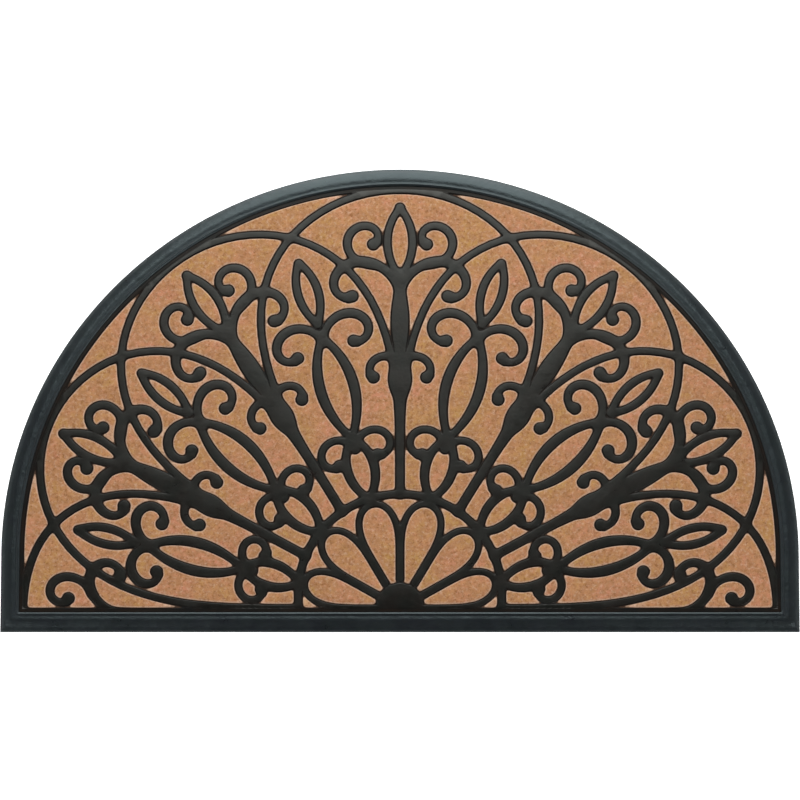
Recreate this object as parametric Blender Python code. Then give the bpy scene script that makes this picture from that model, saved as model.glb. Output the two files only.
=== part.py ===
"""Half-round doormat: a moulded rubber tray with a bevelled border, a felt facing laid in it,
and a rubber scrollwork grille moulded over the felt.

Frame: metres, +Z up, origin at the middle of the mat on the floor. The straight front edge
is at -Y and the round back edge at +Y.
"""

import math
from collections import namedtuple

import bmesh
import bpy
import numpy as np

# Driving dimensions of the whole mat: a half circle on short straight sides.
WIDTH = 0.750
DEPTH = 0.450
RADIUS = WIDTH / 2
ARC_Y = DEPTH / 2 - RADIUS
FRONT_Y = -DEPTH / 2
ARC_STEPS = 64

# Heights of the layers above the floor.
GAP = 0.0003
FLOOR_TOP = 0.0040
FELT_TOP = 0.0078
GRILLE_THICK = 0.0012

# The border's section, from the underside's edge up over the bevel and the bead to the tray's floor.
Section = namedtuple("Section", "inset height")
BORDER_SECTION = (
    Section(inset=0.0000, height=0.0000),
    Section(inset=0.0000, height=0.0040),
    Section(inset=0.0014, height=0.0058),
    Section(inset=0.0038, height=0.0077),
    Section(inset=0.0072, height=0.0090),
    Section(inset=0.0105, height=0.0095),
    Section(inset=0.0138, height=0.0095),
    Section(inset=0.0145, height=0.0097),
    Section(inset=0.0151, height=0.0100),
    Section(inset=0.0159, height=0.0101),
    Section(inset=0.0169, height=0.0100),
    Section(inset=0.0174, height=0.0096),
    Section(inset=0.0176, height=0.0089),
    Section(inset=0.0176, height=FLOOR_TOP),
)
LAYER_INSET = BORDER_SECTION[-1].inset + GAP

# The patterned field starts where the felt shows, and fans out from a hub on its front edge.
FIELD_INSET = 0.0215
FIELD_RADIUS = RADIUS - FIELD_INSET
HUB_Y = FRONT_Y + FIELD_INSET
FAN_COUNT = 6
FAN_ANGLE = math.pi / FAN_COUNT
FAN_LEAN = math.radians(2.5)
PANEL_REACH = 0.385
RING_SHARE = 0.27
HUB_SHARE = 0.03

# Half widths of the ribs, and how softly they run together where they meet.
RIB_HALF = 0.0035
RING_HALF = 0.0038
HUB_HALF = 0.0120
BULB_HALF = 0.0058
BLEND = 0.0012
CURVE_STEPS = 60
SCROLL_STEP = 0.0030

# The grid that the outlines are traced on, how straight they are drawn, and the smallest felt cell.
GRID_STEP = 0.0015
OUTLINE_TOLERANCE = 0.00060
SMALLEST_CELL = 0.00004
NEAR = 0.020
FAR = 0.050

# Arches: shares of the reach at foot and tip, how blunt the tip is, and the half width.
Arch = namedtuple("Arch", "foot tip power half")
TALL_ARCH = Arch(foot=RING_SHARE, tip=1.0, power=0.75, half=RIB_HALF)
SMALL_ARCH = Arch(foot=0.07, tip=0.255, power=0.60, half=0.0030)

# The solid leaf in each crown, along its axis, with the half widths at its ends and middle.
Leaf = namedtuple("Leaf", "first last end_half middle_half")
CROWN_LEAF = Leaf(first=0.112, last=0.206, end_half=0.0020, middle_half=0.0088)

# Scrolls of one panel. x runs outward from the ring and y across it, heading and turn are in
# degrees, first and last are the radii where the scroll starts and ends.
Scroll = namedtuple("Scroll", "x y heading turn first last swell")
LONG_PANEL = (
    Scroll(x=0.000, y=0.000, heading=44, turn=-88, first=0.044, last=0.038, swell=0.0008),
    Scroll(x=0.047, y=0.000, heading=16, turn=275, first=0.0200, last=0.0085, swell=0.0000),
    Scroll(x=0.058, y=0.000, heading=33, turn=-69, first=0.092, last=0.084, swell=0.0014),
    Scroll(x=0.150, y=0.000, heading=12, turn=292, first=0.029, last=0.008, swell=0.0010),
    Scroll(x=0.168, y=0.000, heading=32, turn=-64, first=0.058, last=0.054, swell=0.0004),
)
CROWN_PANEL = (
    Scroll(x=0.090, y=0.002, heading=34, turn=-265, first=0.0300, last=0.0080, swell=0.0003),
    Scroll(x=0.178, y=0.000, heading=2, turn=296, first=0.046, last=0.008, swell=0.0014),
    Scroll(x=0.200, y=0.000, heading=36, turn=-74, first=0.056, last=0.052, swell=0.0004),
    Scroll(x=0.211, y=0.022, heading=88, turn=-330, first=0.026, last=0.007, swell=0.0006),
)
END_PANEL = (
    Scroll(x=0.176, y=-0.006, heading=3, turn=292, first=0.046, last=0.008, swell=0.0012),
    Scroll(x=0.211, y=0.016, heading=74, turn=-318, first=0.030, last=0.007, swell=0.0006),
)

# A scroll that curls this tightly ends in a round bulb, over the last part of its length.
BULB_RADIUS = 0.015
BULB_STARTS = 0.88
BULB_FULL = 0.98

# Which sides of a grid square the outline crosses, by the corners that lie on felt.
SQUARE_SIDES = {
    1: ((3, 0),),
    2: ((0, 1),),
    3: ((3, 1),),
    4: ((1, 2),),
    5: ((3, 2), (1, 0)),
    6: ((0, 2),),
    7: ((3, 2),),
    8: ((2, 3),),
    9: ((2, 0),),
    10: ((0, 3), (2, 1)),
    11: ((2, 1),),
    12: ((1, 3),),
    13: ((1, 0),),
    14: ((0, 3),),
}
SIDE_ENDS = (((0, 0), (0, 1)), ((0, 1), (1, 1)), ((1, 0), (1, 1)), ((0, 0), (1, 0)))


def mat_outline(inset):
    """The mat's outline, drawn in by inset: the arc from right to left, then the front corners."""
    radius = RADIUS - inset
    angles = np.linspace(0, math.pi, ARC_STEPS + 1)
    arc = [(radius * math.cos(a), ARC_Y + radius * math.sin(a)) for a in angles]
    return arc + [(-radius, FRONT_Y + inset), (radius, FRONT_Y + inset)]


def field_reach(angle):
    """How far the field reaches from the hub at an angle from +X."""
    lift = ARC_Y - HUB_Y
    along_side = FIELD_RADIUS / max(abs(math.cos(angle)), 1e-9)
    if along_side * math.sin(angle) <= lift:
        return along_side
    return lift * math.sin(angle) + math.sqrt(FIELD_RADIUS**2 - (lift * math.cos(angle)) ** 2)


def place(share, angle):
    """The point at a share of the way from the hub to the field's edge, leaning a little outward."""
    angle = angle - FAN_LEAN * share**1.3 * math.sin(2 * angle)
    reach = share * field_reach(angle)
    return reach * math.cos(angle), HUB_Y + reach * math.sin(angle)


def laid_on_mat(points, axis):
    """Points of a panel (x out from the ring, y across), laid along its axis on the mat."""
    out = []
    for x, y in points:
        x = x + RING_SHARE * PANEL_REACH
        out.append(place(math.hypot(x, y) / PANEL_REACH, axis + math.atan2(y, x)))
    return np.array(out)


def half_ring(share, half):
    """A rib round the hub at one share of the reach."""
    line = np.array([place(share, angle) for angle in np.linspace(0, math.pi, CURVE_STEPS)])
    return line, np.full(CURVE_STEPS, half)


def arch_rib(arch, axis, half_span):
    """A rib from the arch's foot up to its tip and down again, either side of an axis."""
    points = []
    for t in np.linspace(0, math.pi, CURVE_STEPS):
        share = arch.foot + (arch.tip - arch.foot) * math.sin(t) ** arch.power
        points.append(place(share, axis - half_span * math.cos(t)))
    return np.array(points), np.full(CURVE_STEPS, arch.half)


def leaf_rib(leaf, axis):
    """A straight solid leaf along an axis, widest in its middle."""
    along = np.linspace(0, 1, CURVE_STEPS)
    line = np.stack((leaf.first + (leaf.last - leaf.first) * along, 0 * along), axis=1)
    half = leaf.end_half + (leaf.middle_half - leaf.end_half) * np.sin(math.pi * along) ** 1.5
    return laid_on_mat(line, axis), half


def spiral(scroll):
    """A log spiral whose radius runs evenly from first to last as it turns."""
    turn = math.radians(scroll.turn)
    mean = (scroll.first - scroll.last) / math.log(scroll.first / scroll.last)
    length = abs(turn) * mean
    steps = round(length / SCROLL_STEP)
    along = (np.arange(steps) + 0.5) / steps
    radius = scroll.first + (scroll.last - scroll.first) * along
    bend = math.copysign(length / steps, turn) / radius
    heading = math.radians(scroll.heading) + np.cumsum(bend) - bend / 2
    moves = np.stack((np.cos(heading), np.sin(heading)), axis=1) * length / steps
    start = np.array((scroll.x, scroll.y))
    return np.vstack((start, start + np.cumsum(moves, axis=0)))


def scroll_half_widths(scroll, steps):
    """Half the rib's width along a scroll, fuller in the middle, with a round bulb at a curled end."""
    along = np.linspace(0, 1, steps)
    half = RIB_HALF + scroll.swell * np.sin(math.pi * along) ** 2
    if scroll.last < BULB_RADIUS:
        rise = np.clip((along - BULB_STARTS) / (BULB_FULL - BULB_STARTS), 0, 1)
        half = half + (BULB_HALF - RIB_HALF) * rise**2
    return half


def panel_ribs(scrolls, axis, sides=(1, -1)):
    """The scrolls of one panel, on both sides of its axis."""
    ribs = []
    for scroll in scrolls:
        line = spiral(scroll)
        half = scroll_half_widths(scroll, len(line))
        ribs += [(laid_on_mat(line * (1, side), axis), half) for side in sides]
    return ribs


def pattern_ribs():
    """Every rib of the fan as a centre line and its half widths."""
    ribs = [half_ring(RING_SHARE, RING_HALF), half_ring(HUB_SHARE, HUB_HALF)]
    for k in range(FAN_COUNT):
        axis = (k + 0.5) * FAN_ANGLE
        ribs.append(arch_rib(SMALL_ARCH, axis, FAN_ANGLE / 2))
        ribs += panel_ribs(LONG_PANEL, axis)
    for k in range(1, FAN_COUNT):
        ribs.append(leaf_rib(CROWN_LEAF, k * FAN_ANGLE))
        ribs += panel_ribs(CROWN_PANEL, k * FAN_ANGLE)
    ribs += panel_ribs(END_PANEL, 0, sides=(1,))
    ribs += panel_ribs(END_PANEL, math.pi, sides=(-1,))
    return ribs + [arch_rib(TALL_ARCH, k * FAN_ANGLE, FAN_ANGLE) for k in range(FAN_COUNT + 1)]


def rib_distance(xs, ys, line, half):
    """Distance from each grid point near a rib to the rib's edge, negative inside it."""
    nearest = np.full((len(ys), len(xs)), FAR)
    for start, end, first, last in zip(line[:-1], line[1:], half[:-1], half[1:]):
        low = np.minimum(start, end) - NEAR
        high = np.maximum(start, end) + NEAR
        cols = slice(*np.searchsorted(xs, (low[0], high[0])))
        rows = slice(*np.searchsorted(ys, (low[1], high[1])))
        x = xs[None, cols] - start[0]
        y = ys[rows, None] - start[1]
        run = end - start
        t = np.clip((x * run[0] + y * run[1]) / (run @ run), 0, 1)
        away = np.hypot(x - t * run[0], y - t * run[1]) - (first + (last - first) * t)
        nearest[rows, cols] = np.minimum(nearest[rows, cols], away)
    return nearest


def felt_depth():
    """Grid of distances to the nearest rubber: above zero on felt, with ribs run softly together."""
    xs = np.arange(-RADIUS + GRID_STEP / 2, RADIUS, GRID_STEP)
    ys = np.arange(FRONT_Y + GRID_STEP / 2, DEPTH / 2, GRID_STEP)
    x, y = np.meshgrid(xs, ys)
    to_edge = np.where(y > ARC_Y, FIELD_RADIUS - np.hypot(x, y - ARC_Y), FIELD_RADIUS - abs(x))
    to_edge = np.minimum(to_edge, y - HUB_Y)
    total = np.exp(-to_edge / BLEND)
    for line, half in pattern_ribs():
        total += np.exp(-rib_distance(xs, ys, line, half) / BLEND)
    return xs, ys, -BLEND * np.log(total)


def traced(xs, ys, depth):
    """Closed lines along the places where depth is zero, each walked with the felt on one side."""

    def crossing(row, col, side):
        (row_a, col_a), (row_b, col_b) = SIDE_ENDS[side]
        a = (row + row_a, col + col_a)
        b = (row + row_b, col + col_b)
        t = depth[a] / (depth[a] - depth[b])
        point = (xs[a[1]] + t * (xs[b[1]] - xs[a[1]]), ys[a[0]] + t * (ys[b[0]] - ys[a[0]]))
        return (a, b), point

    on_felt = depth > 0
    corners = on_felt[:-1, :-1] + 2 * on_felt[:-1, 1:] + 4 * on_felt[1:, 1:] + 8 * on_felt[1:, :-1]
    following = {}
    for row, col in zip(*np.nonzero((corners > 0) & (corners < 15))):
        for side_in, side_out in SQUARE_SIDES[int(corners[row, col])]:
            key, point = crossing(row, col, side_in)
            following[key] = (point, crossing(row, col, side_out)[0])
    lines = []
    while following:
        key = next(iter(following))
        line = []
        while key in following:
            point, key = following.pop(key)
            line.append(point)
        lines.append(np.array(line))
    return lines


def enclosed_area(line):
    x, y = line.T
    return abs(np.sum(x * np.roll(y, -1) - np.roll(x, -1) * y)) / 2


def simplified(line, within):
    """The closed line's own points, without those that lie within that distance of a straight run."""
    count = len(line)
    far = int(np.argmax(((line - line[0]) ** 2).sum(axis=1)))
    keep = {0, far}
    todo = [(0, far), (far, count)]
    while todo:
        first, last = todo.pop()
        if last - first < 2:
            continue
        run = line[last % count] - line[first]
        rest = line[first + 1 : last] - line[first]
        t = np.clip(rest @ run / (run @ run), 0, 1)
        away = np.hypot(*(rest - t[:, None] * run).T)
        worst = int(away.argmax())
        if away[worst] > within:
            middle = first + 1 + worst
            keep.add(middle)
            todo += [(first, middle), (middle, last)]
    return line[sorted(keep)]


def cell_outlines():
    """The outline of every felt cell that the ribs leave open."""
    cells = [line for line in traced(*felt_depth()) if enclosed_area(line) > SMALLEST_CELL]
    return [simplified(line, OUTLINE_TOLERANCE) for line in cells]


def material(name, colour, roughness):
    """A plain Principled material."""
    mat = bpy.data.materials.new(name)
    mat.use_nodes = True
    shader = mat.node_tree.nodes["Principled BSDF"]
    shader.inputs["Base Color"].default_value = (*colour, 1.0)
    shader.inputs["Roughness"].default_value = roughness
    shader.inputs["Metallic"].default_value = 0.0
    return mat


def slab(name, outlines, low, high, mat, collection):
    """A flat layer between two heights, from its outer outline and the outlines of its openings."""
    curve = bpy.data.curves.new(name + "_outline", "CURVE")
    curve.dimensions = "2D"
    curve.fill_mode = "BOTH"
    curve.extrude = (high - low) / 2
    for outline in outlines:
        spline = curve.splines.new("POLY")
        spline.points.add(len(outline) - 1)
        for point, (x, y) in zip(spline.points, outline):
            point.co = (x, y, 0.0, 1.0)
        spline.use_cyclic_u = True
    drawn = bpy.data.objects.new(name + "_outline", curve)
    drawn.location.z = (low + high) / 2
    collection.objects.link(drawn)
    bpy.context.view_layer.update()
    mesh = bpy.data.meshes.new_from_object(drawn.evaluated_get(bpy.context.evaluated_depsgraph_get()))
    mesh.name = name
    bm = bmesh.new()
    bm.from_mesh(mesh)
    bmesh.ops.remove_doubles(bm, verts=bm.verts, dist=0.00001)
    bm.to_mesh(mesh)
    bm.free()
    layer = bpy.data.objects.new(name, mesh)
    layer.matrix_world = drawn.matrix_world
    layer.data.materials.clear()
    layer.data.materials.append(mat)
    collection.objects.link(layer)
    bpy.data.objects.remove(drawn)
    return layer


def tray(name, mat, collection):
    """The rubber base with its border: the mat's outline lofted through the border's section."""
    bm = bmesh.new()
    loops = [
        [bm.verts.new((x, y, row.height)) for x, y in mat_outline(row.inset)] for row in BORDER_SECTION
    ]
    for lower, upper in zip(loops, loops[1:]):
        for k in range(len(lower)):
            bm.faces.new((lower[k - 1], lower[k], upper[k], upper[k - 1]))
    bm.faces.new(reversed(loops[0]))
    bm.faces.new(loops[-1])
    mesh = bpy.data.meshes.new(name)
    bm.to_mesh(mesh)
    bm.free()
    mesh.materials.append(mat)
    mesh.shade_smooth()
    mesh.set_sharp_from_angle(angle=math.radians(35))
    base = bpy.data.objects.new(name, mesh)
    collection.objects.link(base)
    return base


def main():
    for leftover in list(bpy.data.objects):
        bpy.data.objects.remove(leftover)
    collection = bpy.data.collections.new("half_round_doormat")
    bpy.context.scene.collection.children.link(collection)
    rubber = material("black_rubber", (0.022, 0.026, 0.028), 0.55)
    felt = material("tan_felt", (0.45, 0.25, 0.12), 0.95)

    tray("rubber_tray", rubber, collection)
    layer = mat_outline(LAYER_INSET)
    slab("felt_facing", [layer], FLOOR_TOP + GAP, FELT_TOP, felt, collection)
    grille_low = FELT_TOP + GAP
    openings = cell_outlines()
    slab("rubber_scrollwork", [layer, *openings], grille_low, grille_low + GRILLE_THICK, rubber, collection)


main()
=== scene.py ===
"""Half-round doormat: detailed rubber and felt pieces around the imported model, with floor and lights.

Frame: metres, +Z up, origin at the middle of the mat on the floor. The straight front edge
is at -Y and the round back edge at +Y.
"""

import math
from collections import namedtuple

import bmesh
import bpy
import numpy as np
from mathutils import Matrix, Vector, noise
from mathutils.geometry import delaunay_2d_cdt


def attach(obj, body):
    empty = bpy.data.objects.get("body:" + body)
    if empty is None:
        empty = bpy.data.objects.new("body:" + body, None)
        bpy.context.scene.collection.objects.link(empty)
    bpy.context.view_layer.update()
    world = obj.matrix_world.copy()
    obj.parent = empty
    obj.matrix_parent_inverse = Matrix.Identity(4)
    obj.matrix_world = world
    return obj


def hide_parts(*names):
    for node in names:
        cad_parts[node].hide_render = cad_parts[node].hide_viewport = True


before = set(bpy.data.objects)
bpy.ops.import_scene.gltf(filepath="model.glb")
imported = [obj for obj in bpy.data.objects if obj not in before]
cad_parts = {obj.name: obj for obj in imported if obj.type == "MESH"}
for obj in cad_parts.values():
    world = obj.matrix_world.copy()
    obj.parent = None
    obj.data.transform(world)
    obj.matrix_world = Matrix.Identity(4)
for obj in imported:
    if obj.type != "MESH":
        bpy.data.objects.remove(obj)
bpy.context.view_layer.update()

# Driving dimensions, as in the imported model: a half circle on short straight sides.
WIDTH = 0.750
DEPTH = 0.450
RADIUS = WIDTH / 2
ARC_Y = DEPTH / 2 - RADIUS
FRONT_Y = -DEPTH / 2

# Steps that the outline's arc, each side and the front are drawn in.
ARC_STEPS = 256
SIDE_STEPS = 12
FRONT_STEPS = 120

# Heights of the layers above the floor, and the gap between them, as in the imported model.
GAP = 0.0003
FLOOR_TOP = 0.0040
FELT_LOW = FLOOR_TOP + GAP
GRILLE_LOW = 0.0081

# The base's section: its underside's edge, then from the rim over bevel, crest and bead to the floor.
Section = namedtuple("Section", "inset height")
UNDERSIDE_EDGE = (Section(inset=0.0006, height=0.0), Section(inset=0.0, height=0.0006))
BORDER_SECTION = (
    Section(inset=0.0000, height=0.0030),
    Section(inset=0.0000, height=0.0050),
    Section(inset=0.0005, height=0.0055),
    Section(inset=0.0020, height=0.0066),
    Section(inset=0.0038, height=0.0078),
    Section(inset=0.0072, height=0.0091),
    Section(inset=0.0102, height=0.0098),
    Section(inset=0.0138, height=0.0094),
    Section(inset=0.0144, height=0.0095),
    Section(inset=0.0149, height=0.0101),
    Section(inset=0.0154, height=0.0104),
    Section(inset=0.0160, height=0.0104),
    Section(inset=0.0169, height=0.0100),
    Section(inset=0.0174, height=0.0095),
    Section(inset=0.0176, height=0.0083),
)

# How often the section's corners are cut, and at what share of the way to the next row.
CORNER_ROUNDS = 2
CORNER_CUT = 0.25

# Where the border ends, and where the layers inside it begin.
INNER_INSET = 0.0176
LAYER_INSET = INNER_INSET + GAP

# The patterned field starts where the felt shows, and fans out from a hub on its front edge.
FIELD_INSET = 0.0215
FIELD_RADIUS = RADIUS - FIELD_INSET
HUB_Y = FRONT_Y + FIELD_INSET
FAN_COUNT = 6
FAN_ANGLE = math.pi / FAN_COUNT
FAN_LEAN = math.radians(2.5)
LEAN_POWER = 1.3
PANEL_REACH = 0.385
RING_SHARE = 0.27
HUB_SHARE = 0.03

# Half widths of the ribs, and how softly they run together where they meet.
RIB_HALF = 0.0035
RING_HALF = 0.0038
HUB_HALF = 0.0120
BULB_HALF = 0.0058
BLEND = 0.0012
CURVE_STEPS = 60
SCROLL_STEP = 0.0030

# Arches: shares of the reach at foot and tip, how blunt the tip is, and the half width.
Arch = namedtuple("Arch", "foot tip power half")
TALL_ARCH = Arch(foot=RING_SHARE, tip=1.0, power=0.75, half=RIB_HALF)
SMALL_ARCH = Arch(foot=0.07, tip=0.255, power=0.60, half=0.0030)

# The solid leaf in each crown, along its axis, with the half widths at its ends and middle.
Leaf = namedtuple("Leaf", "first last end_half middle_half power")
CROWN_LEAF = Leaf(first=0.112, last=0.206, end_half=0.0020, middle_half=0.0088, power=1.5)

# Scrolls of a panel: x out from the ring, y across, angles in degrees, radii where they start and end.
Scroll = namedtuple("Scroll", "x y heading turn first last swell")
LONG_PANEL = (
    Scroll(x=0.000, y=0.000, heading=44, turn=-88, first=0.044, last=0.038, swell=0.0008),
    Scroll(x=0.047, y=0.000, heading=16, turn=275, first=0.0200, last=0.0085, swell=0.0000),
    Scroll(x=0.058, y=0.000, heading=33, turn=-69, first=0.092, last=0.084, swell=0.0014),
    Scroll(x=0.150, y=0.000, heading=12, turn=292, first=0.029, last=0.008, swell=0.0010),
    Scroll(x=0.168, y=0.000, heading=32, turn=-64, first=0.058, last=0.054, swell=0.0004),
)
CROWN_PANEL = (
    Scroll(x=0.090, y=0.002, heading=34, turn=-265, first=0.0300, last=0.0080, swell=0.0003),
    Scroll(x=0.178, y=0.000, heading=2, turn=296, first=0.046, last=0.008, swell=0.0014),
    Scroll(x=0.200, y=0.000, heading=36, turn=-74, first=0.056, last=0.052, swell=0.0004),
    Scroll(x=0.211, y=0.022, heading=88, turn=-330, first=0.026, last=0.007, swell=0.0006),
)
END_PANEL = (
    Scroll(x=0.176, y=-0.006, heading=3, turn=292, first=0.046, last=0.008, swell=0.0012),
    Scroll(x=0.211, y=0.016, heading=74, turn=-318, first=0.030, last=0.007, swell=0.0006),
)

# A scroll that curls this tightly ends in a round bulb, over the last part of its length.
BULB_RADIUS = 0.015
BULB_STARTS = 0.88
BULB_FULL = 0.98

# Heights by the distance from the line where felt and rubber meet: felt above zero, rubber below.
Level = namedtuple("Level", "depth height")
FELT_LEVELS = (
    Level(depth=0.0000, height=0.0078),
    Level(depth=0.0003, height=0.0082),
    Level(depth=0.0006, height=0.0089),
    Level(depth=0.0010, height=0.0094),
    Level(depth=0.0016, height=0.00965),
    Level(depth=0.0028, height=0.0098),
)
FELT_CROWN = (Level(depth=0.0050, height=0.0100), Level(depth=0.0100, height=0.0101))
RIB_LEVELS = (
    Level(depth=0.0000, height=0.0083),
    Level(depth=-0.0004, height=0.0084),
    Level(depth=-0.00065, height=0.00915),
    Level(depth=-0.0009, height=0.0094),
    Level(depth=-0.0012, height=0.00943),
)

# Beside the bead the ribs slope into a low channel, by the distance in from the mat's outline.
CHANNEL_LEVELS = (
    Section(inset=LAYER_INSET, height=0.0086),
    Section(inset=0.0200, height=0.0086),
    Section(inset=0.0207, height=0.0088),
)
SLOPE_LEVELS = (Section(inset=0.0212, height=0.0093), Section(inset=0.0218, height=0.0095))

# The ribs' shoulders, laid in painted shade, lie nearer the felt than this, and the slope's points keep
# clear of them.
SHOULDER_DEPTH = -0.00098
SLOPE_CLEAR = 0.0004

# Slow random rises and falls of a face: how wide and how high.
Swell = namedtuple("Swell", "size amount")
FELT_SMALL_SWELL = Swell(size=0.013, amount=0.00012)
FELT_WIDE_SWELL = Swell(size=0.045, amount=0.00015)
RIB_SWELL = Swell(size=0.06, amount=0.00006)

# The grid that lines are traced on, and how many cells short of its end it is read.
GRID_STEP = 0.0010
LAST_CELL = 1.001

# A rib's distance is worked out this near to it and counts as this far elsewhere.
NEAR = 0.020
FAR = 0.050

# Keeps a division clear of zero.
TINY = 1e-9

# How closely a line is followed, and which lines are too short or too small to keep.
LINE_TOLERANCE = 0.00003
LONGEST_STEP = 0.0025
FEWEST_POINTS = 7
SMALLEST_CELL = 0.00004

# Loose points in the middle of each felt pad, in an even grid of triangles.
FELT_GRID = 0.0032
ROW_SHARE = 0.866
FELT_CLEAR = FELT_GRID / 4

# Points nearer than this are one, and edges sharper than these degrees aren't shaded smooth.
WELD = 1e-7
SHARP_BORDER = 30
SHARP_FELT = 75
SHARP_RIBS = 65

# Sides of a grid square that a line crosses, by the corners that lie above it.
SQUARE_SIDES = {
    1: ((3, 0),),
    2: ((0, 1),),
    3: ((3, 1),),
    4: ((1, 2),),
    5: ((3, 2), (1, 0)),
    6: ((0, 2),),
    7: ((3, 2),),
    8: ((2, 3),),
    9: ((2, 0),),
    10: ((0, 3), (2, 1)),
    11: ((2, 1),),
    12: ((1, 3),),
    13: ((1, 0),),
    14: ((0, 3),),
}

# The two corners at each side's ends, as steps in row and column.
SIDE_ENDS = (((0, 0), (0, 1)), ((0, 1), (1, 1)), ((1, 0), (1, 1)), ((0, 0), (1, 0)))

# Noise by its scale per metre, its octaves and the weight of each finer one.
Noise = namedtuple("Noise", "scale detail rough")

# A band of values, and the values that its two ends are mapped onto.
Band = namedtuple("Band", "low high at_low at_high")

# A colour laid over another, as far as a band of noise says.
Layer = namedtuple("Layer", "colour noise band")

# Felt: two base colours in slow blotches, and the fibres over them.
FELT_PINK = (0.460, 0.197, 0.110)
FELT_YELLOW = (0.396, 0.214, 0.071)
FELT_BLOTCH = Noise(scale=22, detail=5.0, rough=0.75)
FELT_BLOTCH_BAND = Band(low=0.38, high=0.62, at_low=0.0, at_high=1.0)
FELT_FIBRES = (
    Layer(
        colour=(0.335, 0.161, 0.073),
        noise=Noise(scale=170, detail=3.0, rough=0.65),
        band=Band(low=0.40, high=0.60, at_low=0.0, at_high=0.85),
    ),
    Layer(
        colour=(0.54, 0.37, 0.265),
        noise=Noise(scale=300, detail=3.0, rough=0.65),
        band=Band(low=0.50, high=0.68, at_low=0.0, at_high=0.45),
    ),
)

# Felt by the millimetres in from a pad's edge: a painted highlight on the rounded rim, partly the paler
# pile at the cut edge, and painted shade down in the groove.
FELT_RIM_HIGHLIGHT = (0.61, 0.425, 0.315)
FELT_RIM_HIGHLIGHT_BAND = Band(low=2.0, high=1.0, at_low=0.0, at_high=0.62)
FELT_SHADE = (0.022, 0.010, 0.006)
FELT_SHADE_BAND = Band(low=0.72, high=0.42, at_low=0.0, at_high=0.92)

# Felt: dark flecks and specks over the rim, and the fuzz that raises its face.
FELT_FLECKS = (
    Layer(
        colour=(0.215, 0.080, 0.025),
        noise=Noise(scale=330, detail=3.0, rough=0.7),
        band=Band(low=0.52, high=0.68, at_low=0.0, at_high=0.7),
    ),
    Layer(
        colour=(0.09, 0.035, 0.02),
        noise=Noise(scale=800, detail=2.0, rough=0.6),
        band=Band(low=0.60, high=0.70, at_low=0.0, at_high=0.5),
    ),
)
FELT_FUZZ = Noise(scale=900, detail=3.0, rough=0.7)
FELT_FUZZ_STRENGTH = 0.6
FELT_FUZZ_HEIGHT = 0.0008

# Rubber finishes: two base colours, the strength and tint of the shine, and the height of the grain.
Rubber = namedtuple("Rubber", "name deep warm shine tint grain_height")
BORDER_RUBBER = Rubber(
    name="border_rubber",
    deep=(0.0064, 0.0082, 0.0092),
    warm=(0.0070, 0.0077, 0.0102),
    shine=0.51,
    tint=(0.80, 0.98, 1.0),
    grain_height=0.0006,
)
RIB_RUBBER = Rubber(
    name="rib_rubber",
    deep=(0.0024, 0.0029, 0.0022),
    warm=(0.0040, 0.0027, 0.0020),
    shine=0.38,
    tint=(0.99, 0.985, 0.92),
    grain_height=0.0002,
)
# Painted shade: a duller copy of the rib rubber for the ribs' shoulders and the channel, where shade
# falls.
PAINTED_SHADE_RUBBER = Rubber(
    name="painted_shade_rubber",
    deep=(0.0085, 0.0082, 0.0080),
    warm=(0.0125, 0.0088, 0.0070),
    shine=0.10,
    tint=(0.99, 0.985, 0.92),
    grain_height=0.0002,
)

# All rubber: how the base colours mix, the dust over them and the grain.
RUBBER_CAST = Noise(scale=70, detail=2.0, rough=0.5)
RUBBER_CAST_BAND = Band(low=0.35, high=0.65, at_low=0.0, at_high=1.0)
RUBBER_DUST = Layer(
    colour=(0.010, 0.009, 0.007),
    noise=Noise(scale=380, detail=3.0, rough=0.65),
    band=Band(low=0.52, high=0.72, at_low=0.0, at_high=0.5),
)
RUBBER_GRAIN = Noise(scale=160, detail=2.0, rough=0.5)
RUBBER_FINE_GRAIN = Noise(scale=500, detail=3.0, rough=0.65)
GRAIN_SHARE = 0.65
FINE_GRAIN_SHARE = 0.35
GRAIN_STRENGTH = 1.0

# All rubber: its uneven polish, and how much duller it is seen edge on.
RUBBER_POLISH = Noise(scale=45, detail=6.0, rough=0.8)
RUBBER_POLISH_BAND = Band(low=0.3, high=0.7, at_low=0.26, at_high=0.42)
EDGE_ON_BLEND = 0.5
EDGE_ON_BAND = Band(low=0.38, high=0.65, at_low=0.0, at_high=0.55)

# The studio: a glowing floor, a softbox behind the mat and two fills at its front sides.
WHITE = (1.0, 1.0, 1.0)
FLOOR_COLOUR = (0.9, 0.9, 0.9)
FLOOR_GLOW = 0.90
FLOOR_REACH = 6
Lamp = namedtuple("Lamp", "name power colour width height spot")
LAMPS = (
    Lamp(
        name="back_softbox",
        power=17.0,
        colour=(0.97, 1.0, 1.0),
        width=0.95,
        height=1.43,
        spot=(0.0, 0.90, 0.66),
    ),
    Lamp(name="left_fill", power=12.5, colour=WHITE, width=0.8, height=0.8, spot=(-1.1, -0.9, 0.9)),
    Lamp(name="right_fill", power=12.5, colour=WHITE, width=0.8, height=0.8, spot=(1.1, -0.9, 0.9)),
)

# The sky by direction: brightest at the horizon, dim towards the front, brighter to the sides.
SKY_UP_BAND = Band(low=0.0, high=0.8, at_low=0.60, at_high=0.12)
SKY_BACK_BAND = Band(low=-0.9, high=0.1, at_low=0.1, at_high=1.0)
SKY_SIDE_BAND = Band(low=0.45, high=0.75, at_low=1.0, at_high=1.5)

# The camera: sensor and lens in millimetres, elevation in degrees, distances in metres.
CAMERA_SENSOR = 36.0
CAMERA_LENS = 368.7
CAMERA_ELEVATION = 75.85
CAMERA_DISTANCE = 7.744
CAMERA_CLIP_END = 50.0


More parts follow.
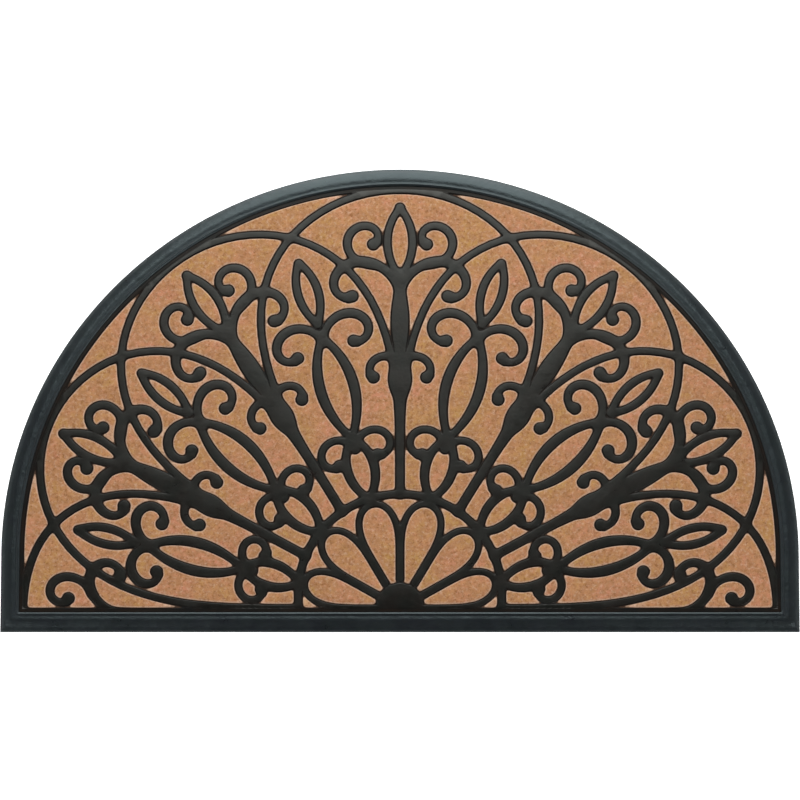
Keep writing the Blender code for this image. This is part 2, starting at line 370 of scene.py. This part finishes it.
def mat_outline(inset):
    """The mat's outline, drawn in by inset, counterclockwise from the right end of the arc."""
    radius = RADIUS - inset
    front = FRONT_Y + inset
    arc = np.linspace(0, math.pi, ARC_STEPS + 1)
    points = [(radius * math.cos(a), ARC_Y + radius * math.sin(a)) for a in arc]
    points += [(-radius, y) for y in np.linspace(ARC_Y, front, SIDE_STEPS + 1)[1:]]
    points += [(x, front) for x in np.linspace(-radius, radius, FRONT_STEPS + 1)[1:]]
    points += [(radius, y) for y in np.linspace(front, ARC_Y, SIDE_STEPS + 1)[1:-1]]
    return np.array(points)


def outline_inset(points):
    """How far points lie in from the mat's outline."""
    x, y = points.T
    side = np.where(y > ARC_Y, RADIUS - np.hypot(x, y - ARC_Y), RADIUS - abs(x))
    return np.minimum(side, y - FRONT_Y)


def field_reach(angle):
    """How far the field reaches from the hub at an angle from +X."""
    lift = ARC_Y - HUB_Y
    along_side = FIELD_RADIUS / max(abs(math.cos(angle)), TINY)
    if along_side * math.sin(angle) <= lift:
        return along_side
    return lift * math.sin(angle) + math.sqrt(FIELD_RADIUS**2 - (lift * math.cos(angle)) ** 2)


def place(share, angle):
    """The point at a share of the way from the hub to the field's edge, leaning a little outward."""
    angle = angle - FAN_LEAN * share**LEAN_POWER * math.sin(2 * angle)
    reach = share * field_reach(angle)
    return reach * math.cos(angle), HUB_Y + reach * math.sin(angle)


def laid_on_mat(points, axis):
    """Points of a panel (x out from the ring, y across), laid along its axis on the mat."""
    out = []
    for x, y in points:
        x = x + RING_SHARE * PANEL_REACH
        out.append(place(math.hypot(x, y) / PANEL_REACH, axis + math.atan2(y, x)))
    return np.array(out)


def half_ring(share, half):
    """A rib round the hub at one share of the reach."""
    line = np.array([place(share, angle) for angle in np.linspace(0, math.pi, CURVE_STEPS)])
    return line, np.full(CURVE_STEPS, half)


def arch_rib(arch, axis, half_span):
    """A rib from the arch's foot up to its tip and down again, either side of an axis."""
    points = []
    for t in np.linspace(0, math.pi, CURVE_STEPS):
        share = arch.foot + (arch.tip - arch.foot) * math.sin(t) ** arch.power
        points.append(place(share, axis - half_span * math.cos(t)))
    return np.array(points), np.full(CURVE_STEPS, arch.half)


def leaf_rib(leaf, axis):
    """A straight solid leaf along an axis, widest in its middle."""
    along = np.linspace(0, 1, CURVE_STEPS)
    line = np.stack((leaf.first + (leaf.last - leaf.first) * along, 0 * along), axis=1)
    half = leaf.end_half + (leaf.middle_half - leaf.end_half) * np.sin(math.pi * along) ** leaf.power
    return laid_on_mat(line, axis), half


def spiral(scroll):
    """A log spiral whose radius runs evenly from first to last as it turns."""
    turn = math.radians(scroll.turn)
    mean = (scroll.first - scroll.last) / math.log(scroll.first / scroll.last)
    length = abs(turn) * mean
    steps = round(length / SCROLL_STEP)
    along = (np.arange(steps) + 0.5) / steps
    radius = scroll.first + (scroll.last - scroll.first) * along
    bend = math.copysign(length / steps, turn) / radius
    heading = math.radians(scroll.heading) + np.cumsum(bend) - bend / 2
    moves = np.stack((np.cos(heading), np.sin(heading)), axis=1) * length / steps
    start = np.array((scroll.x, scroll.y))
    return np.vstack((start, start + np.cumsum(moves, axis=0)))


def scroll_half_widths(scroll, steps):
    """Half the rib's width along a scroll, fuller in the middle, with a round bulb at a curled end."""
    along = np.linspace(0, 1, steps)
    half = RIB_HALF + scroll.swell * np.sin(math.pi * along) ** 2
    if scroll.last < BULB_RADIUS:
        rise = np.clip((along - BULB_STARTS) / (BULB_FULL - BULB_STARTS), 0, 1)
        half = half + (BULB_HALF - RIB_HALF) * rise**2
    return half


def panel_ribs(scrolls, axis, sides=(1, -1)):
    """The scrolls of one panel, on both sides of its axis unless told otherwise."""
    ribs = []
    for scroll in scrolls:
        line = spiral(scroll)
        half = scroll_half_widths(scroll, len(line))
        ribs += [(laid_on_mat(line * (1, side), axis), half) for side in sides]
    return ribs


def pattern_ribs():
    """Every rib of the fan as a centre line and its half widths."""
    ribs = [half_ring(RING_SHARE, RING_HALF), half_ring(HUB_SHARE, HUB_HALF)]
    for k in range(FAN_COUNT):
        axis = (k + 0.5) * FAN_ANGLE
        ribs.append(arch_rib(SMALL_ARCH, axis, FAN_ANGLE / 2))
        ribs += panel_ribs(LONG_PANEL, axis)
    for k in range(1, FAN_COUNT):
        ribs.append(leaf_rib(CROWN_LEAF, k * FAN_ANGLE))
        ribs += panel_ribs(CROWN_PANEL, k * FAN_ANGLE)
    ribs += panel_ribs(END_PANEL, 0, sides=(1,))
    ribs += panel_ribs(END_PANEL, math.pi, sides=(-1,))
    return ribs + [arch_rib(TALL_ARCH, k * FAN_ANGLE, FAN_ANGLE) for k in range(FAN_COUNT + 1)]


class Field(namedtuple("Field", "xs ys depth")):
    """The depth on a grid over the mat: above zero on felt, below it on rubber."""


def rib_distance(xs, ys, line, half):
    """Distance from each grid point near a rib to the rib's edge, negative inside it."""
    nearest = np.full((len(ys), len(xs)), FAR)
    for start, end, first, last in zip(line[:-1], line[1:], half[:-1], half[1:]):
        low = np.minimum(start, end) - NEAR
        high = np.maximum(start, end) + NEAR
        cols = slice(*np.searchsorted(xs, (low[0], high[0])))
        rows = slice(*np.searchsorted(ys, (low[1], high[1])))
        x = xs[None, cols] - start[0]
        y = ys[rows, None] - start[1]
        run = end - start
        t = np.clip((x * run[0] + y * run[1]) / (run @ run), 0, 1)
        away = np.hypot(x - t * run[0], y - t * run[1]) - (first + (last - first) * t)
        nearest[rows, cols] = np.minimum(nearest[rows, cols], away)
    return nearest


def pattern_field():
    """The depth over the mat, with ribs run softly together where they meet."""
    xs = np.arange(-RADIUS + GRID_STEP / 2, RADIUS, GRID_STEP)
    ys = np.arange(FRONT_Y + GRID_STEP / 2, DEPTH / 2, GRID_STEP)
    x, y = np.meshgrid(xs, ys)
    to_edge = np.where(y > ARC_Y, FIELD_RADIUS - np.hypot(x, y - ARC_Y), FIELD_RADIUS - abs(x))
    to_edge = np.minimum(to_edge, y - HUB_Y)
    total = np.exp(-to_edge / BLEND)
    for line, half in pattern_ribs():
        total += np.exp(-rib_distance(xs, ys, line, half) / BLEND)
    return Field(xs, ys, -BLEND * np.log(total))


def traced(field, level):
    """Closed lines along the places where the depth has one value."""
    above = field.depth - level
    xs, ys = field.xs, field.ys

    def crossing(row, col, side):
        """The two grid points at a side's ends, and the point where the line crosses between them."""
        (row_a, col_a), (row_b, col_b) = SIDE_ENDS[side]
        a = (row + row_a, col + col_a)
        b = (row + row_b, col + col_b)
        t = above[a] / (above[a] - above[b])
        point = (xs[a[1]] + t * (xs[b[1]] - xs[a[1]]), ys[a[0]] + t * (ys[b[0]] - ys[a[0]]))
        return (a, b), point

    high = above > 0
    corners = high[:-1, :-1] + 2 * high[:-1, 1:] + 4 * high[1:, 1:] + 8 * high[1:, :-1]
    following = {}
    for row, col in zip(*np.nonzero((corners > 0) & (corners < 15))):
        for side_in, side_out in SQUARE_SIDES[int(corners[row, col])]:
            key, point = crossing(row, col, side_in)
            following[key] = (point, crossing(row, col, side_out)[0])
    lines = []
    while following:
        key = next(iter(following))
        line = []
        while key in following:
            point, key = following.pop(key)
            line.append(point)
        lines.append(np.array(line))
    return lines


def enclosed_area(line):
    """The area inside a closed line."""
    x, y = line.T
    return abs(np.sum(x * np.roll(y, -1) - np.roll(x, -1) * y)) / 2


def simplified(line, within):
    """The closed line's own points, without those that lie within that distance of a straight run."""
    count = len(line)
    far = int(np.argmax(((line - line[0]) ** 2).sum(axis=1)))
    keep = {0, far}
    todo = [(0, far), (far, count)]
    while todo:
        first, last = todo.pop()
        if last - first < 2:
            continue
        run = line[last % count] - line[first]
        rest = line[first + 1 : last] - line[first]
        t = np.clip(rest @ run / (run @ run), 0, 1)
        away = np.hypot(*(rest - t[:, None] * run).T)
        worst = int(away.argmax())
        if away[worst] > within or run @ run > LONGEST_STEP**2:
            middle = first + 1 + (worst if away[worst] > within else (last - first - 1) // 2)
            keep.add(middle)
            todo += [(first, middle), (middle, last)]
    return line[sorted(keep)]


def encloses(line, point):
    """Whether the closed line runs round the point."""
    x, y = line.T
    next_x, next_y = np.roll(line, -1, axis=0).T
    crosses = (y > point[1]) != (next_y > point[1])
    at = x + (point[1] - y) / np.where(crosses, next_y - y, 1) * (next_x - x)
    return np.count_nonzero(crosses & (at > point[0])) % 2 == 1


def in_a_cell(cells, point):
    """Whether the point lies in one of the felt cells."""
    return any(encloses(cell, point) for cell in cells)


def round_a_cell(cells, line):
    """Whether the closed line runs round one of the felt cells."""
    return any(encloses(line, cell[0]) for cell in cells)


def level_lines(field, levels, is_wanted):
    """The wanted ones of the closed lines at the levels' depths."""
    lines = []
    for level in levels:
        for line in traced(field, level.depth):
            if len(line) >= FEWEST_POINTS and is_wanted(line):
                lines.append(simplified(line, LINE_TOLERANCE))
    return lines


class Flat(namedtuple("Flat", "points faces cell_of index_of")):
    """Triangles in the plane: points, faces, each face's cell or -1, and each given point's own number."""


def triangulated(lines, cell_count, loose=()):
    """Triangles between closed lines, of which the first ones are the cells, and loose points."""
    coords = [Vector(p) for line in lines for p in line] + [Vector(p) for p in loose]
    edges = []
    rings = []
    first = 0
    for line in lines:
        ring = list(range(first, first + len(line)))
        edges += zip(ring, ring[1:] + ring[:1])
        rings.append(ring[::-1])
        first += len(line)
    points, _, faces, point_ids, _, face_ids = delaunay_2d_cdt(
        coords, edges, rings[:cell_count], 0, WELD
    )
    index_of = np.zeros(len(coords), int)
    for k, ids in enumerate(point_ids):
        index_of[ids] = k
    cell_of = np.array([ids[0] if ids else -1 for ids in face_ids])
    return Flat(np.array([tuple(p) for p in points]), np.array(faces), cell_of, index_of)


def depth_at(field, points):
    """The field's depth at points, read between the grid's points."""
    col = np.clip((points[:, 0] - field.xs[0]) / GRID_STEP, 0, len(field.xs) - LAST_CELL)
    row = np.clip((points[:, 1] - field.ys[0]) / GRID_STEP, 0, len(field.ys) - LAST_CELL)
    c, r = col.astype(int), row.astype(int)
    u, v = col - c, row - r
    low = field.depth[r, c] * (1 - u) + field.depth[r, c + 1] * u
    high = field.depth[r + 1, c] * (1 - u) + field.depth[r + 1, c + 1] * u
    return low * (1 - v) + high * v


def height_at(levels, depths):
    """Heights read off a table of levels, straight between its rows."""
    rows = sorted(levels)
    return np.interp(depths, [row.depth for row in rows], [row.height for row in rows])


def unevenness(points, swell):
    """A slow random rise and fall over the mat."""
    size = swell.size
    return swell.amount * np.array([noise.noise(Vector((x / size, y / size, size))) for x, y in points])


def ring_wall(upper, lower):
    """Quads between two rings of the same length, facing away from the side the rings run round."""
    return [(lower[k - 1], lower[k], upper[k], upper[k - 1]) for k in range(len(upper))]


def piece(name, points, faces, mats, sharp_angle, mat_of_face=0):
    """A smooth mesh piece that rides on the mat's one body."""
    mesh = bpy.data.meshes.new(name)
    mesh.from_pydata([tuple(p) for p in points], [], [tuple(f) for f in faces])
    bm = bmesh.new()
    bm.from_mesh(mesh)
    bmesh.ops.recalc_face_normals(bm, faces=bm.faces)
    bm.to_mesh(mesh)
    bm.free()
    for mat in mats:
        mesh.materials.append(mat)
    mat_numbers = np.broadcast_to(mat_of_face, len(faces)).astype(np.int32)
    mesh.polygons.foreach_set("material_index", mat_numbers)
    mesh.shade_smooth()
    mesh.set_sharp_from_angle(angle=math.radians(sharp_angle))
    made = bpy.data.objects.new(name, mesh)
    bpy.context.scene.collection.objects.link(made)
    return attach(made, "root")


def rounded(section, rounds):
    """The section with its corners cut in each of several rounds, its two ends kept."""
    rows = [np.array(row) for row in section]
    for _ in range(rounds):
        cut = [rows[0]]
        for a, b in zip(rows, rows[1:]):
            cut += [(1 - CORNER_CUT) * a + CORNER_CUT * b, CORNER_CUT * a + (1 - CORNER_CUT) * b]
        rows = cut + [rows[-1]]
    return rows


def base_piece(mat):
    """The rubber base: its underside, rim, bevel, crest and bead, and the floor under the felt."""
    rows = [*UNDERSIDE_EDGE, *rounded(BORDER_SECTION, CORNER_ROUNDS), (INNER_INSET, FLOOR_TOP)]
    points = []
    rings = []
    for inset, height in rows:
        outline = mat_outline(inset)
        rings.append(list(range(len(points), len(points) + len(outline))))
        points += [(x, y, height) for x, y in outline]
    faces = [rings[0][::-1], rings[-1]]
    for lower, upper in zip(rings, rings[1:]):
        faces += ring_wall(upper, lower)
    return piece("rubber_base", points, faces, [mat], SHARP_BORDER)


def pad_points(field, cells):
    """Loose points in the middle of each felt pad, every other row shifted by half a step."""
    across = np.arange(-RADIUS, RADIUS, FELT_GRID)
    points = []
    for k, y in enumerate(np.arange(FRONT_Y, DEPTH / 2, FELT_GRID * ROW_SHARE)):
        points += [(x + (k % 2) * FELT_GRID / 2, y) for x in across]
    points = np.array(points)
    points = points[depth_at(field, points) > FELT_LEVELS[-1].depth + FELT_CLEAR]
    return [point for point in points if in_a_cell(cells, point)]


def felt_heights(points, depths):
    """Heights of the felt's face, its crowned pads a little uneven."""
    share = np.clip(depths / FELT_LEVELS[-1].depth, 0, 1)
    uneven = unevenness(points, FELT_SMALL_SWELL) + unevenness(points, FELT_WIDE_SWELL)
    return height_at(FELT_LEVELS + FELT_CROWN, depths) + share * uneven


def felt_piece(field, cells, mat):
    """The felt sheet: pads crowned between the ribs, pressed flat under them."""
    levels = level_lines(field, FELT_LEVELS[1:], lambda line: in_a_cell(cells, line[0]))
    edge = mat_outline(LAYER_INSET)
    loose = pad_points(field, cells)
    flat = triangulated([*cells, *levels, edge], len(cells), loose)
    depths = np.maximum(depth_at(field, flat.points), 0)
    points = np.column_stack((flat.points, felt_heights(flat.points, depths)))
    edge_end = len(flat.index_of) - len(loose)
    ring = flat.index_of[edge_end - len(edge) : edge_end]
    low_ring = np.arange(len(points), len(points) + len(ring))
    low_points = points[ring] * (1, 1, 0) + (0, 0, FELT_LOW)
    faces = flat.faces.tolist() + ring_wall(ring, low_ring) + [low_ring[::-1].tolist()]
    made = piece("felt_sheet", np.vstack((points, low_points)), faces, [mat], SHARP_FELT)
    layer = made.data.attributes.new("depth_mm", "FLOAT", "POINT")
    depths = np.concatenate((depths, np.zeros(len(ring))))
    layer.data.foreach_set("value", (depths * 1000).astype(np.float32))
    return made


def rib_lines(field, cells):
    """The closed lines in the ribs' top, the cells' outlines first."""
    levels = level_lines(field, RIB_LEVELS[1:], lambda line: round_a_cell(cells, line))
    return [*cells, *levels, *(mat_outline(level.inset) for level in CHANNEL_LEVELS[1:])]


def slope_points(field):
    """Loose points on the slope down to the channel, clear of the shoulders."""
    points = np.vstack([mat_outline(level.inset) for level in SLOPE_LEVELS])
    return points[depth_at(field, points) < RIB_LEVELS[-1].depth - SLOPE_CLEAR]


def rib_heights(points, depths, insets):
    """Heights of the ribs' top: the lower of its shoulders and its slope, a little uneven."""
    rows = CHANNEL_LEVELS + SLOPE_LEVELS
    at_edge = np.interp(insets, [row.inset for row in rows], [row.height for row in rows])
    return np.minimum(height_at(RIB_LEVELS, depths), at_edge) + unevenness(points, RIB_SWELL)


def ribs_piece(field, cells, top_mat, painted_shade_mat):
    """The rubber ribs: flat tops with narrow shoulders down to a channel round the field, both in painted
    shade.
    """
    lines = rib_lines(field, cells)
    edge = mat_outline(LAYER_INSET)
    flat = triangulated([*lines, edge], len(cells), slope_points(field))
    depths = depth_at(field, flat.points)
    insets = outline_inset(flat.points)
    heights = rib_heights(flat.points, depths, insets)
    first_edge = sum(len(line) for line in lines)
    edge_ring = flat.index_of[first_edge : first_edge + len(edge)]
    heights[edge_ring] = CHANNEL_LEVELS[0].height
    heights[flat.index_of[: sum(len(cell) for cell in cells)]] = RIB_LEVELS[0].height
    points = np.column_stack((flat.points, heights))
    top = flat.faces[flat.cell_of < 0]
    is_shoulder = depths[top].min(axis=1) > SHOULDER_DEPTH
    is_channel = insets[top].max(axis=1) < CHANNEL_LEVELS[-1].inset + LINE_TOLERANCE

    under = triangulated([*cells, edge], len(cells))
    under_points = np.column_stack((under.points, np.full(len(under.points), GRILLE_LOW)))
    under_faces = under.faces[under.cell_of < 0][:, ::-1] + len(points)
    faces = top.tolist() + under_faces.tolist()
    first = 0
    for line in [*cells, edge]:
        given = np.arange(first, first + len(line))
        first += len(line)
        upper = edge_ring if line is edge else flat.index_of[given]
        faces += ring_wall(upper, under.index_of[given] + len(points))
    # Shoulders, channel, walls and underside take the painted-shade rubber.
    is_painted_shade = (is_shoulder | is_channel).tolist() + [True] * (len(faces) - len(top))
    points = np.vstack((points, under_points))
    return piece("rubber_ribs", points, faces, [top_mat, painted_shade_mat], SHARP_RIBS, is_painted_shade)


def new_node(tree, kind, settings=None, **inputs):
    """Adds a node. Settings are its own properties, inputs are values or other nodes' outputs.

    An input goes by its name, or by its number, such as _0, where several share a name.
    """
    made = tree.nodes.new(kind)
    for name, value in (settings or {}).items():
        setattr(made, name, value)
    for name, value in inputs.items():
        number = name[1:]
        socket = made.inputs[int(number) if number.isdigit() else name.replace("_", " ")]
        if isinstance(value, bpy.types.NodeSocket):
            tree.links.new(value, socket)
        else:
            socket.default_value = value
    return made


def opaque(colour):
    """The colour with full alpha. A node's output is passed on as it is."""
    return colour if isinstance(colour, bpy.types.NodeSocket) else (*colour, 1.0)


def noise_value(tree, coords, kind):
    """The value of one kind of noise over the surface."""
    inputs = {"Scale": kind.scale, "Detail": kind.detail, "Roughness": kind.rough}
    return new_node(tree, "ShaderNodeTexNoise", Vector=coords, **inputs).outputs["Fac"]


def ranged(tree, value, band):
    """A band of values mapped onto another, clamped at both ends."""
    ends = {"From_Min": band.low, "From_Max": band.high, "To_Min": band.at_low, "To_Max": band.at_high}
    return new_node(tree, "ShaderNodeMapRange", Value=value, **ends).outputs["Result"]


def calculated(tree, operation, first, second=0.0):
    """One step of arithmetic on values."""
    return new_node(tree, "ShaderNodeMath", {"operation": operation}, _0=first, _1=second).outputs[0]


def mixed(tree, factor, first, second):
    """The first colour, with the second over it as far as the factor says."""
    # The node's colour sockets share their names with its plain ones, so they go by number.
    colours = {"_6": opaque(first), "_7": opaque(second)}
    return new_node(tree, "ShaderNodeMix", {"data_type": "RGBA"}, _0=factor, **colours).outputs[2]


def layered(tree, coords, colour, layer):
    """The colour with a layer of another over it."""
    factor = ranged(tree, noise_value(tree, coords, layer.noise), layer.band)
    return mixed(tree, factor, colour, layer.colour)


def raise_grain(tree, shader, grain, strength, height):
    """Lets a value raise the surface's grain by up to a height, in its shading alone."""
    bump = new_node(tree, "ShaderNodeBump", Strength=strength, Distance=height, Height=grain)
    tree.links.new(bump.outputs["Normal"], shader.inputs["Normal"])


def new_material(name, **constants):
    """A material with constants on its shader's sockets: itself, its nodes, shader and coordinates."""
    mat = bpy.data.materials.new(name)
    mat.use_nodes = True
    tree = mat.node_tree
    shader = tree.nodes["Principled BSDF"]
    for key, value in constants.items():
        shader.inputs[key.replace("_", " ")].default_value = value
    coords = tree.nodes.new("ShaderNodeTexCoord").outputs["Object"]
    return mat, tree, shader, coords


def felt_material():
    """Needle-punched felt of mixed fibres; painted highlight round each pad's rim, painted shade in the
    groove.
    """
    mat, tree, shader, coords = new_material(
        "tan_felt",
        Metallic=0.0,
        Roughness=0.95,
        Specular_IOR_Level=0.15,
        Sheen_Weight=0.08,
        Sheen_Roughness=0.5,
    )
    depth = new_node(tree, "ShaderNodeAttribute", {"attribute_name": "depth_mm"}).outputs["Fac"]
    blotch = ranged(tree, noise_value(tree, coords, FELT_BLOTCH), FELT_BLOTCH_BAND)
    colour = mixed(tree, blotch, FELT_PINK, FELT_YELLOW)
    for layer in FELT_FIBRES:
        colour = layered(tree, coords, colour, layer)
    # Painted highlight on each pad's rounded rim, partly the paler pile at the cut edge.
    colour = mixed(tree, ranged(tree, depth, FELT_RIM_HIGHLIGHT_BAND), colour, FELT_RIM_HIGHLIGHT)
    for layer in FELT_FLECKS:
        colour = layered(tree, coords, colour, layer)
    # Painted shade down in the groove beside the ribs.
    colour = mixed(tree, ranged(tree, depth, FELT_SHADE_BAND), colour, FELT_SHADE)
    tree.links.new(colour, shader.inputs["Base Color"])
    fuzz = noise_value(tree, coords, FELT_FUZZ)
    raise_grain(tree, shader, fuzz, FELT_FUZZ_STRENGTH, FELT_FUZZ_HEIGHT)
    return mat


def rubber_material(rubber):
    """Dull black rubber of two base colours, a little dusty, with its shine tinted."""
    mat, tree, shader, coords = new_material(
        rubber.name,
        Metallic=0.0,
        Specular_IOR_Level=rubber.shine,
        Specular_Tint=opaque(rubber.tint),
    )
    cast = ranged(tree, noise_value(tree, coords, RUBBER_CAST), RUBBER_CAST_BAND)
    colour = mixed(tree, cast, rubber.deep, rubber.warm)
    colour = layered(tree, coords, colour, RUBBER_DUST)
    tree.links.new(colour, shader.inputs["Base Color"])
    polish = ranged(tree, noise_value(tree, coords, RUBBER_POLISH), RUBBER_POLISH_BAND)
    facing = new_node(tree, "ShaderNodeLayerWeight", Blend=EDGE_ON_BLEND).outputs["Facing"]
    rough = calculated(tree, "ADD", polish, ranged(tree, facing, EDGE_ON_BAND))
    tree.links.new(rough, shader.inputs["Roughness"])
    slow = calculated(tree, "MULTIPLY", noise_value(tree, coords, RUBBER_GRAIN), GRAIN_SHARE)
    fine = calculated(tree, "MULTIPLY", noise_value(tree, coords, RUBBER_FINE_GRAIN), FINE_GRAIN_SHARE)
    grain = calculated(tree, "ADD", slow, fine)
    raise_grain(tree, shader, grain, GRAIN_STRENGTH, rubber.grain_height)
    return mat


def pale_floor():
    """The pale floor that the mat lies on."""
    mat = new_material(
        "pale_floor",
        Base_Color=opaque(FLOOR_COLOUR),
        Roughness=0.9,
        Specular_IOR_Level=0.1,
        Emission_Color=opaque(WHITE),
        Emission_Strength=FLOOR_GLOW,
    )[0]
    mesh = bpy.data.meshes.new("floor")
    corners = ((-1, -1), (1, -1), (1, 1), (-1, 1))
    mesh.from_pydata([(x * FLOOR_REACH, y * FLOOR_REACH, 0) for x, y in corners], [], [(0, 1, 2, 3)])
    mesh.materials.append(mat)
    floor = bpy.data.objects.new("floor", mesh)
    bpy.context.scene.collection.objects.link(floor)


def lamp(kind):
    """A rectangular light that points at the mat's middle and isn't seen itself."""
    data = bpy.data.lights.new(kind.name, "AREA")
    data.shape = "RECTANGLE"
    data.size = kind.width
    data.size_y = kind.height
    data.energy = kind.power
    data.color = kind.colour
    made = bpy.data.objects.new(kind.name, data)
    made.location = kind.spot
    made.rotation_euler = (-Vector(kind.spot)).to_track_quat("-Z", "Y").to_euler()
    made.visible_camera = False
    bpy.context.scene.collection.objects.link(made)


def sky():
    """White light from all round, its strength set by direction."""
    world = bpy.data.worlds.new("studio")
    world.use_nodes = True
    tree = world.node_tree
    coords = tree.nodes.new("ShaderNodeTexCoord").outputs["Generated"]
    toward = new_node(tree, "ShaderNodeSeparateXYZ", Vector=coords).outputs
    up = ranged(tree, toward["Z"], SKY_UP_BAND)
    back = ranged(tree, toward["Y"], SKY_BACK_BAND)
    side = ranged(tree, calculated(tree, "ABSOLUTE", toward["X"]), SKY_SIDE_BAND)
    strength = calculated(tree, "MULTIPLY", calculated(tree, "MULTIPLY", up, back), side)
    tree.nodes["Background"].inputs["Color"].default_value = opaque(WHITE)
    tree.links.new(strength, tree.nodes["Background"].inputs["Strength"])
    bpy.context.scene.world = world


def camera():
    """The photo's view: a long lens, from the front and nearly from above."""
    data = bpy.data.cameras.new("camera")
    data.sensor_width = CAMERA_SENSOR
    data.lens = CAMERA_LENS
    data.clip_end = CAMERA_CLIP_END
    made = bpy.data.objects.new("camera", data)
    elevation = math.radians(CAMERA_ELEVATION)
    back = Vector((0, -math.cos(elevation), math.sin(elevation)))
    made.location = back * CAMERA_DISTANCE
    made.rotation_euler = (-back).to_track_quat("-Z", "Y").to_euler()
    bpy.context.scene.collection.objects.link(made)
    bpy.context.scene.camera = made


def mat_pieces():
    """The mat's three pieces, each in the place of its plain node."""
    field = pattern_field()
    cells = [line for line in traced(field, 0) if enclosed_area(line) > SMALLEST_CELL]
    cells = [simplified(line, LINE_TOLERANCE) for line in cells]
    felt = felt_material()
    border_rubber = rubber_material(BORDER_RUBBER)
    rib_rubber = rubber_material(RIB_RUBBER)
    painted_shade_rubber = rubber_material(PAINTED_SHADE_RUBBER)
    base = base_piece(border_rubber)
    sheet = felt_piece(field, cells, felt)
    grille = ribs_piece(field, cells, rib_rubber, painted_shade_rubber)
    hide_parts("rubber_tray")
    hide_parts("felt_facing")
    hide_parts("rubber_scrollwork")
    sheet_size = mat_outline(LAYER_INSET)


def main():
    """The mat, its studio and its camera."""
    mat_pieces()
    pale_floor()
    for kind in LAMPS:
        lamp(kind)
    sky()
    bpy.context.scene.view_settings.view_transform = "Standard"
    camera()


main()
